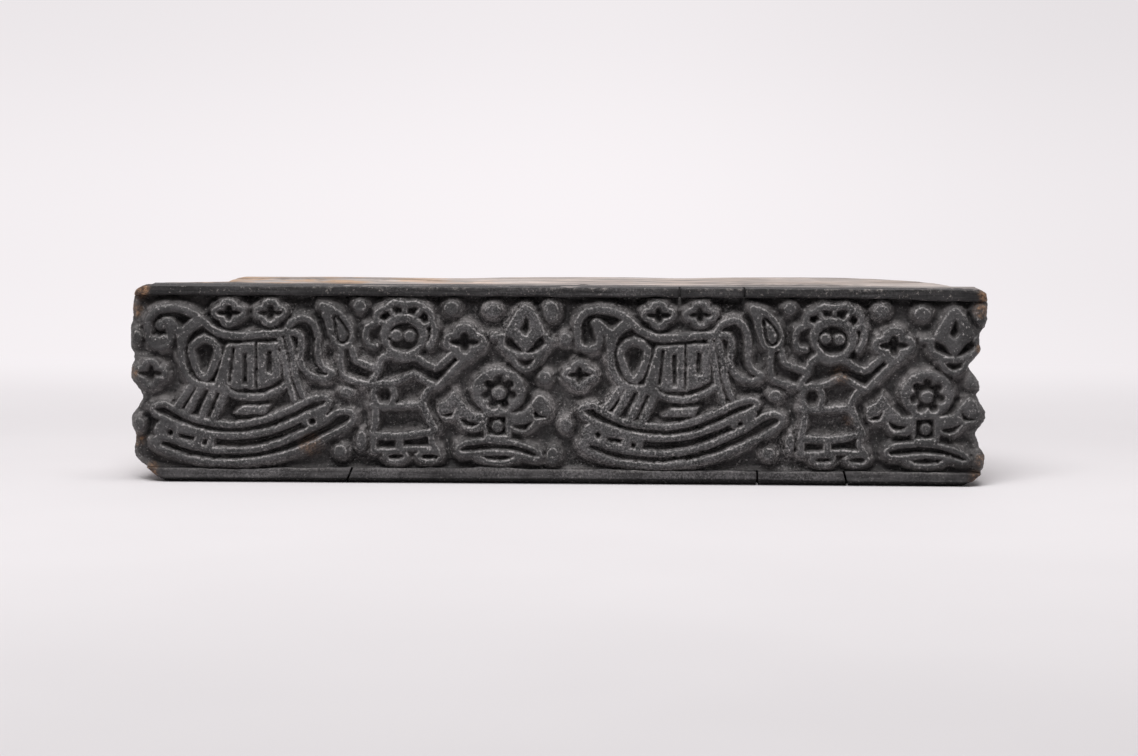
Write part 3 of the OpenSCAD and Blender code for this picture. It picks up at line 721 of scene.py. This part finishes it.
class Nodes:
    """A short way to write a material's nodes."""

    def __init__(self, name):
        self.material = bpy.data.materials.new(name)
        self.material.use_nodes = True
        self.tree = self.material.node_tree
        self.shader = self.tree.nodes["Principled BSDF"]
        place = self.add("ShaderNodeTexCoord").outputs["Object"]
        # Texture space in millimetres
        self.place = self.add("ShaderNodeVectorMath", {0: place, 1: (1 / MM, 1 / MM, 1 / MM)},
                              operation="MULTIPLY").outputs[0]
        self.x, self.y, self.z = self.add("ShaderNodeSeparateXYZ", {0: self.place}).outputs

    def add(self, kind, inputs=None, **settings):
        """A new node with its settings and inputs."""
        node = self.tree.nodes.new(kind)
        for key, value in settings.items():
            setattr(node, key, value)
        for key, value in (inputs or {}).items():
            self.put(node.inputs[key], value)
        return node

    def put(self, socket, value):
        """Links a socket to another, or sets its value."""
        if isinstance(value, bpy.types.NodeSocket):
            self.tree.links.new(value, socket)
        elif isinstance(value, tuple) and len(value) == 3 and socket.type == "RGBA":
            socket.default_value = (*value, 1)
        else:
            socket.default_value = value

    def math(self, operation, a, b=0.0, c=0.0):
        """One step of arithmetic."""
        return self.add("ShaderNodeMath", {0: a, 1: b, 2: c}, operation=operation).outputs[0]

    def times(self, a, b):
        """The product of two values."""
        return self.math("MULTIPLY", a, b)

    def mix(self, factor, a, b, blend="MIX"):
        """A colour between two colours."""
        return self.add("ShaderNodeMix", {0: factor, 6: a, 7: b}, data_type="RGBA",
                        blend_type=blend).outputs[2]

    def grey(self, value):
        """A colour with one value in all its channels."""
        return self.add("ShaderNodeCombineColor", {0: value, 1: value, 2: value}).outputs[0]

    def facing(self):
        """Which way the surface looks, along x, y and z."""
        normal = self.add("ShaderNodeNewGeometry").outputs["Normal"]
        return self.add("ShaderNodeSeparateXYZ", {0: normal}).outputs

    def noise(self, stretch, detail, rough):
        """Noise whose features are 1 / stretch millimetres along each axis."""
        vector = self.add("ShaderNodeVectorMath", {0: self.place, 1: stretch},
                          operation="MULTIPLY").outputs[0]
        return self.add("ShaderNodeTexNoise", {"Vector": vector, "Scale": 1.0, "Detail": detail,
                                               "Roughness": rough}).outputs[0]

    def span(self, value, low, high, to_low=0.0, to_high=1.0):
        """A soft step from to_low to to_high, while a value goes from low to high."""
        return self.add("ShaderNodeMapRange", {0: value, 1: low, 2: high, 3: to_low, 4: to_high},
                        interpolation_type="SMOOTHSTEP").outputs[0]

    def mask(self, name):
        """A mask of the piece."""
        return self.add("ShaderNodeAttribute", attribute_name=name).outputs["Fac"]

    def bump(self, height, distance):
        """Roughens the surface by a height from 0 to 1, over a distance in mm."""
        normal = self.add("ShaderNodeBump", {"Height": height, "Distance": distance * MM})
        self.put(self.shader.inputs["Normal"], normal.outputs[0])

    def finish(self, **inputs):
        """Sets inputs of the shader, and gives the material."""
        for key, value in inputs.items():
            self.put(self.shader.inputs[key.replace("_", " ").title()], value)
        return self.material


# Inked wood: crests, walls and ground of the carving, and edges rubbed bright with a painted
# highlight
INK_TOP = (0.057, 0.054, 0.055)
INK_WALL = (0.118, 0.11, 0.109)
INK_LOW = (0.055, 0.0513, 0.0513)
INK_RIM_AND_HIGHLIGHT = (0.6, 0.565, 0.556)
# Slips: front of the top and bottom ones, the painted shade on their undersides, and their edges
SLIP_HIGH = (0.036, 0.034, 0.0347)
SLIP_LOW = (0.094, 0.089, 0.0907)
SLIP_UNDER_SHADE = (0.024, 0.0229, 0.0229)
# The edge colours of the slips are also used for painted glints
SLIP_RIM_AND_GLINT = (0.26, 0.245, 0.24)
EDGE_RIM_AND_GLINT = (0.4, 0.36, 0.34)
# A pale colour for slopes that look up, wood where the ink has worn off, and old wood that it never
# covered
UP_SLOPE_PALE = (0.34, 0.315, 0.31)
BARE_LIGHT = (0.5, 0.29, 0.165)
BARE_DARK = (0.11, 0.062, 0.04)
OLD_WOOD = (0.36, 0.318, 0.3)
OLD_WOOD_DARK = (0.11, 0.097, 0.091)
# Grip: dark and pale grain, warm patches, flecks, painted shade in the broken place, pores,
# smudges, worn edges and end grain
GRIP_DARK, GRIP_PALE = (0.4, 0.333, 0.3), (0.62, 0.545, 0.51)
GRIP_WARM, GRIP_FLECK = (0.5, 0.315, 0.19), (0.19, 0.13, 0.095)
GRIP_HOLE_SHADE, GRIP_PORE = (0.035, 0.026, 0.022), (0.13, 0.098, 0.08)
GRIP_SMUDGE, GRIP_EDGE = (0.12, 0.105, 0.1), (0.6, 0.51, 0.45)
END_DARK, END_PALE = (0.17, 0.125, 0.1), (0.36, 0.285, 0.235)
# Pegs: dark and pale rings, and pores
PEG_DARK, PEG_PALE, PEG_PORE = (0.21, 0.14, 0.092), (0.4, 0.285, 0.195), (0.1, 0.066, 0.046)
# The heart of the tree that the grip was cut from, in mm
HEART = (0.0, -12.0, 86.0)
# How far inside its edge a rubbed crest and its painted highlight lie, in mm
CREST_IN = 0.3
# Middle of the face, where hands have rubbed it lighter, in mm
MIDDLE_Z = 28


def inked_wood(name, top, low, rim_and_highlight_colour, streaks, gloss, mottling):
    """Wood dark with old ink: worn rims with painted highlights, painted glints, black hollows,
    painted shade under the slips, and bare wood at the corners.
    """
    n = Nodes(name)
    n.put(n.shader.inputs["Specular IOR Level"], gloss)
    speckle = n.noise((1.5, 1.5, 1.5), 4, 0.75)
    blotch = n.noise((0.21, 0.21, 0.21), 3, 0.6)
    grain = n.noise((0.07, 0.5, 1.3), 4, 0.65)
    handled = n.noise((0.04, 0.04, 0.04), 2, 0.5)
    strength = n.span(handled, 0.36, 0.64, 0.5 * mottling, 1.55 * mottling)
    strength = n.times(strength, n.span(n.math("ABSOLUTE", n.x), 80, 115, 1.0, 0.35))
    tone = n.math("MULTIPLY_ADD", n.span(speckle, 0.42, 0.66, -0.5, 1.3), strength, 1.02)
    tone = n.math("ADD", tone, n.span(blotch, 0.34, 0.66, -0.55 * mottling, 0.55 * mottling))
    tone = n.times(tone, n.span(handled, 0.32, 0.68, 0.78, 1.22))
    tone = n.times(tone, n.span(n.math("ABSOLUTE", n.x), 90, 118, 1.0, 0.72))
    from_middle = n.math("ABSOLUTE", n.math("SUBTRACT", n.z, MIDDLE_Z))
    tone = n.times(tone, n.span(from_middle, 3, 15, 1.32, 0.94))
    tone = n.times(tone, n.span(grain, 0.3, 0.7, 1 - streaks, 1 + streaks))
    shade = n.grey(tone)
    away = n.math("MULTIPLY_ADD", n.math("SUBTRACT", speckle, 0.5), 0.35, n.mask("away"))
    colour = n.mix(n.span(away, -0.25, 0.25), top, INK_WALL)
    colour = n.mix(1.0, shade, n.mix(n.mask("low"), colour, low), "MULTIPLY")
    # Crests are rubbed bright, with a painted highlight strongest where they look up
    line = n.span(n.math("ABSOLUTE", n.math("ADD", away, CREST_IN)), 0.04, 0.36, 0.8, 0.0)
    facing_up = n.facing()[2]
    line = n.times(line, n.span(facing_up, -0.25, 0.35, 0.25, 1.0))
    rim = n.math("MAXIMUM", n.mask("rim"), n.times(line, n.mask("crest")))
    rim = n.times(rim, n.span(speckle, 0.38, 0.6, 0.1, 1.0))
    colour = n.mix(rim, colour, rim_and_highlight_colour)
    # Slopes of the carving that look up are made paler in patches
    pale_up_slopes = n.times(n.span(facing_up, 0.3, 0.75), n.span(away, 0.1, 0.5))
    patch = n.span(n.noise((0.11, 0.11, 0.11), 3, 0.6), 0.42, 0.62, 0.0, 0.3)
    pale_up_slopes = n.times(pale_up_slopes, patch)
    colour = n.mix(pale_up_slopes, colour, UP_SLOPE_PALE)
    wood_grain = n.noise((0.08, 0.35, 0.8), 5, 0.7)
    wood = n.mix(n.span(wood_grain, 0.35, 0.65), OLD_WOOD_DARK, OLD_WOOD)
    stain = n.math("ADD", n.mask("ink"), n.span(grain, 0.3, 0.7, -0.22, 0.22))
    colour = n.mix(n.span(stain, 0.4, 0.7), wood, colour)
    # Painted glints: bright specks of the rim colour
    glint = n.times(n.span(n.noise((1.1, 1.1, 1.1), 2, 0.6), 0.57, 0.67),
                    n.span(speckle, 0.5, 0.6, 0.05, 0.7))
    colour = n.mix(glint, colour, rim_and_highlight_colour)
    mottle = n.noise((0.8, 0.8, 0.8), 3, 0.6)
    bare = n.mix(n.span(mottle, 0.4, 0.62), BARE_DARK, BARE_LIGHT)
    colour = n.mix(n.times(n.mask("bare"), n.span(speckle, 0.38, 0.56, 0.15, 1.0)),
                   colour, bare)
    n.bump(n.math("ADD", speckle, n.times(grain, 0.8)), 0.25)
    sheen = n.span(blotch, 0.3, 0.7, 0.5, 0.66)
    sheen = n.times(sheen, n.span(rim, 0, 1, 1, 0.72))
    return n.finish(base_color=colour, roughness=sheen)


def grip_wood(name):
    """Pale weathered wood with grain along x, warmer at the left, and end grain at the ends."""
    n = Nodes(name)
    figure = n.noise((0.007, 0.07, 0.1), 3, 0.5)
    fibre = n.noise((0.02, 0.22, 1.3), 6, 0.65)
    pore = n.noise((0.07, 0.8, 2.6), 2, 0.5)
    patch = n.noise((0.07, 0.07, 0.07), 4, 0.65)
    smudge = n.noise((0.05, 0.08, 0.08), 4, 0.6)
    colour = n.mix(n.span(figure, 0.36, 0.64), GRIP_DARK, GRIP_PALE)
    warm = n.times(n.span(n.x, -60, 0, 1, 0.12), n.span(patch, 0.43, 0.58))
    colour = n.mix(n.times(warm, 0.85), colour, GRIP_WARM)
    fleck = n.times(n.span(n.x, -60, 10, 1, 0.15),
                    n.span(n.noise((0.14, 0.11, 0.11), 4, 0.65), 0.55, 0.64))
    colour = n.mix(n.times(fleck, 0.55), colour, GRIP_FLECK)
    # Painted shade: the broken place is near-black
    colour = n.mix(n.mask("hole"), colour, GRIP_HOLE_SHADE)
    tone = n.span(fibre, 0.33, 0.67, 0.6, 1.4)
    weather = n.noise((0.035, 0.33, 0.33), 4, 0.65)
    tone = n.times(tone, n.span(weather, 0.33, 0.67, 0.72, 1.22))
    tone = n.times(tone, n.span(patch, 0.36, 0.64, 0.86, 1.1))
    colour = n.mix(1.0, colour, n.grey(tone), "MULTIPLY")
    colour = n.mix(n.span(pore, 0.6, 0.68, 0, 0.55), colour, GRIP_PORE)
    colour = n.mix(n.span(smudge, 0.58, 0.78, 0, 0.5), colour, GRIP_SMUDGE)
    end_grain = n.span(n.math("ABSOLUTE", n.facing()[0]), 0.55, 0.9)
    heart = n.add("ShaderNodeVectorMath", {0: n.place, 1: HEART}, operation="SUBTRACT")
    rings = n.add("ShaderNodeTexWave", {
        "Vector": heart.outputs[0], "Scale": 0.14, "Distortion": 5.0, "Detail": 3.0,
        "Detail Scale": 0.35}, wave_type="RINGS", rings_direction="X").outputs[1]
    rings = n.math("MULTIPLY_ADD", n.math("SUBTRACT", pore, 0.5), 1.6, rings)
    ends = n.mix(n.span(rings, 0.1, 0.9), END_DARK, END_PALE)
    colour = n.mix(n.times(end_grain, 0.85), colour, ends)
    colour = n.mix(n.times(n.mask("edge"), n.span(smudge, 0.4, 0.6, 0.1, 0.5)),
                   colour, GRIP_EDGE)
    stain = n.math("ADD", n.mask("ink"), n.span(fibre, 0.3, 0.7, -0.3, 0.3))
    colour = n.mix(n.span(stain, 0.1, 1.1, 0, 0.85), colour, INK_TOP)
    n.bump(n.math("ADD", fibre, n.times(pore, -0.5)), 0.25)
    return n.finish(base_color=colour, roughness=n.span(smudge, 0.3, 0.7, 0.75, 0.55))


def peg_wood(name):
    """End grain of a peg: rings and rays, darker round the rim."""
    n = Nodes(name)
    rings = n.noise((0.7, 0.1, 2.2), 4, 0.6)
    pores = n.noise((3.5, 0.2, 3.5), 3, 0.7)
    colour = n.mix(n.span(rings, 0.35, 0.65), PEG_DARK, PEG_PALE)
    colour = n.mix(n.span(pores, 0.6, 0.72, 0, 0.7), colour, PEG_PORE)
    n.bump(n.math("ADD", rings, pores), 0.15)
    return n.finish(base_color=colour, roughness=n.span(rings, 0.3, 0.7, 0.75, 0.6))


def paint(material, *targets):
    """Gives pieces one material."""
    for target in targets:
        target.data.materials.clear()
        target.data.materials.append(material)


paint(inked_wood("inked_face", INK_TOP, INK_LOW, INK_RIM_AND_HIGHLIGHT, 0.15, 0.5, 0.75), face_board)
paint(inked_wood("inked_top_slip", SLIP_HIGH, SLIP_UNDER_SHADE, EDGE_RIM_AND_GLINT, 0.6, 0.3, 0.5), *top_slips)
paint(inked_wood("inked_bottom_slip", SLIP_LOW, SLIP_UNDER_SHADE, SLIP_RIM_AND_GLINT, 0.25, 0.1, 0.5),
      *bottom_slips)
paint(grip_wood("grip_wood_pale"), grip)
paint(peg_wood("peg_end_grain"), *pegs)

# Floor and backdrop in one sweep, in metres
FLOOR_NEAR, FLOOR_FAR, SWEEP, WALL_TOP, HALF_WIDTH = -2.2, 0.75, 0.5, 2.2, 2.4
# Pale paper as it is seen, in the light that it throws back, and far behind the block
PAPER_DARK, PAPER_PALE = (0.85, 0.815, 0.83), (0.87, 0.835, 0.85)
PAPER_BOUNCE, PAPER_GLOW = (0.52, 0.5, 0.51), (0.925, 0.885, 0.905)


def build_stage():
    """A sweep of pale paper under and behind the block."""
    profile = [(FLOOR_NEAR, 0), (FLOOR_FAR, 0)]
    for a in np.radians(np.linspace(0, 90, 25)[1:]):
        profile.append((FLOOR_FAR + SWEEP * math.sin(a), SWEEP * (1 - math.cos(a))))
    profile.append((FLOOR_FAR + SWEEP, WALL_TOP))
    points = [(side * HALF_WIDTH, y, z) for y, z in profile for side in (-1, 1)]
    faces = [(2 * i, 2 * i + 1, 2 * i + 3, 2 * i + 2) for i in range(len(profile) - 1)]
    mesh = bpy.data.meshes.new("floor")
    mesh.from_pydata(points, [], faces)
    mesh.shade_smooth()
    floor = add_object("floor", mesh)
    n = Nodes("pale_paper")
    mottle = n.noise((0.01, 0.01, 0.01), 2, 0.5)
    paper = n.mix(n.span(mottle, 0.3, 0.7), PAPER_DARK, PAPER_PALE)
    # Light that the paper throws back on the block is kept low
    ray = n.add("ShaderNodeLightPath").outputs
    seen = n.math("MAXIMUM", ray["Is Camera Ray"], n.math(
        "MAXIMUM", ray["Is Glossy Ray"], ray["Is Transmission Ray"]))
    # Painted light: the paper is painted brighter towards the block and darker towards the camera,
    # as a pool of light
    near = n.span(n.y, -420, -20, 0.76, 1.06)
    paper = n.mix(1.0, n.grey(near), paper, "MULTIPLY")
    paper = n.mix(seen, PAPER_BOUNCE, paper)
    n.finish(base_color=paper, roughness=0.85)
    # The backdrop's glow is painted a little darker towards the top and the sides, as painted shade
    fade = n.times(n.span(n.x, -400, -20, 0.955, 1.0), n.span(n.x, -20, 355, 1.0, 0.905))
    fade = n.times(fade, n.span(n.z, 30, 170, 1.02, 0.945))
    glow = n.add("ShaderNodeEmission", {"Color": PAPER_GLOW, "Strength": fade})
    far = n.times(seen, n.span(n.y, 80, 330))
    both = n.add("ShaderNodeMixShader", {0: far, 1: n.shader.outputs[0], 2: glow.outputs[0]})
    n.put(n.tree.nodes["Material Output"].inputs["Surface"], both.outputs[0])
    paint(n.material, floor)


build_stage()

# Light and camera


def stand(thing, place, axes):
    """Puts a lamp or the camera at a place, with its own axes along the given ones."""
    turn = Matrix(np.array(axes).T.tolist()).to_4x4()
    thing.matrix_world = Matrix.Translation(place) @ turn


def area_light(name, place, aim, size, power, spread):
    """A rectangular lamp at a place, turned to an aim."""
    lamp = bpy.data.lights.new(name, "AREA")
    lamp.shape = "RECTANGLE"
    lamp.size, lamp.size_y = size
    lamp.energy = power
    lamp.spread = math.radians(spread)
    way = np.array(place) - np.array(aim)
    way = way / np.linalg.norm(way)
    right = np.cross((0, 0, 1), way)
    right = right / np.linalg.norm(right)
    up = np.cross(way, right)
    stand(add_object(name, lamp), place, [right, up, way])


area_light("key", (-0.2, -0.75, 1.1), (0, -0.05, 0), (0.9, 0.6), 10.5, 180)
area_light("overhead", (0.1, -0.22, 1.3), (0, 0, 0), (0.9, 0.6), 6.2, 180)

SKY_COLOUR, SKY_STRENGTH = (1.0, 0.99, 1.0, 1), 0.22
world = bpy.data.worlds.new("studio")
bpy.context.scene.world = world
world.use_nodes = True
sky = world.node_tree.nodes["Background"]
sky.inputs["Color"].default_value = SKY_COLOUR
sky.inputs["Strength"].default_value = SKY_STRENGTH

# The camera, fitted to the photograph: image width and focal length in pixels, sensor in mm
IMAGE_WIDTH = 1138
FOCAL_PX = 3018.0
SENSOR = 36.0
CAMERA_AT = (0.0207, -0.86655, 0.11596)
CAMERA_YAW, CAMERA_PITCH, CAMERA_ROLL = (math.radians(a) for a in (-1.19, -5.829, 0.211))


def add_camera():
    """The camera of the photograph."""
    data = bpy.data.cameras.new("camera")
    data.sensor_fit = "HORIZONTAL"
    data.sensor_width = SENSOR
    data.lens = FOCAL_PX / IMAGE_WIDTH * SENSOR
    data.clip_start, data.clip_end = 0.05, 20
    camera = add_object("camera", data)
    ahead = np.array([math.sin(CAMERA_YAW), math.cos(CAMERA_YAW), 0])
    right = np.array([math.cos(CAMERA_YAW), -math.sin(CAMERA_YAW), 0])
    up = np.array([0, 0, 1.0])
    way = ahead * math.cos(CAMERA_PITCH) + up * math.sin(CAMERA_PITCH)
    high = up * math.cos(CAMERA_PITCH) - ahead * math.sin(CAMERA_PITCH)
    cosine, sine = math.cos(CAMERA_ROLL), math.sin(CAMERA_ROLL)
    stand(camera, CAMERA_AT,
          [right * cosine + high * sine, high * cosine - right * sine, -way])
    bpy.context.scene.camera = camera


add_camera()
bpy.context.scene.view_settings.view_transform = "Standard"
